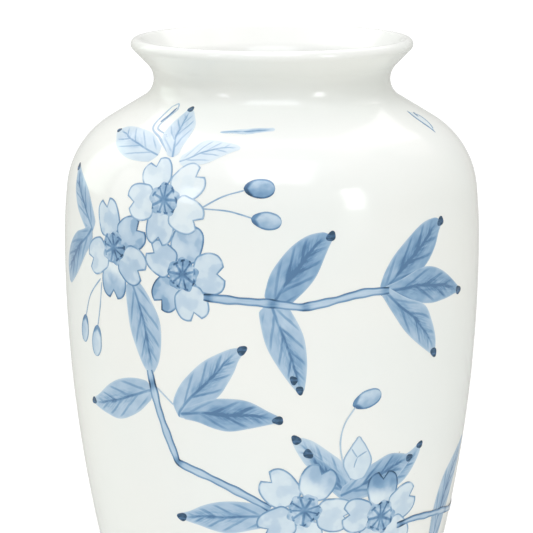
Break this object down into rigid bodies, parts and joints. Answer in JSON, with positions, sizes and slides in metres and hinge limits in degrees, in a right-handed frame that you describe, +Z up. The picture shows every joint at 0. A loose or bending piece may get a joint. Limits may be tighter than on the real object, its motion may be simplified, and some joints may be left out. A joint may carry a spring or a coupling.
{
  "type": "porcelain vase",
  "caption": "Jujube-shaped porcelain vase with a short neck, a flared mouth, a foot ring and blossom sprays painted in blue under the glaze.",
  "frame": {"origin": "on the vase's axis, in the plane that the foot ring stands on", "axes": "+Z up along the vase's axis; -Y is the painted front, +X is to the right as seen from the front"},
  "size_m": [0.176, 0.176, 0.25],
  "materials": {
    "biscuit": "matte",
    "slip": "matte",
    "clear_glaze": "gloss",
    "cobalt_painting": "gloss"
  },
  "bodies": {
    "root": {"foot_ring": "biscuit", "base_floor": "biscuit", "lower_wall": "biscuit", "upper_wall": "biscuit", "neck_collar": "biscuit", "foot_slip": "slip", "floor_slip": "slip", "belly_slip": "slip", "neck_slip": "slip", "outer_glaze": "clear_glaze", "inner_glaze": "clear_glaze", "recess_glaze": "clear_glaze"}
  },
  "joints": []
}
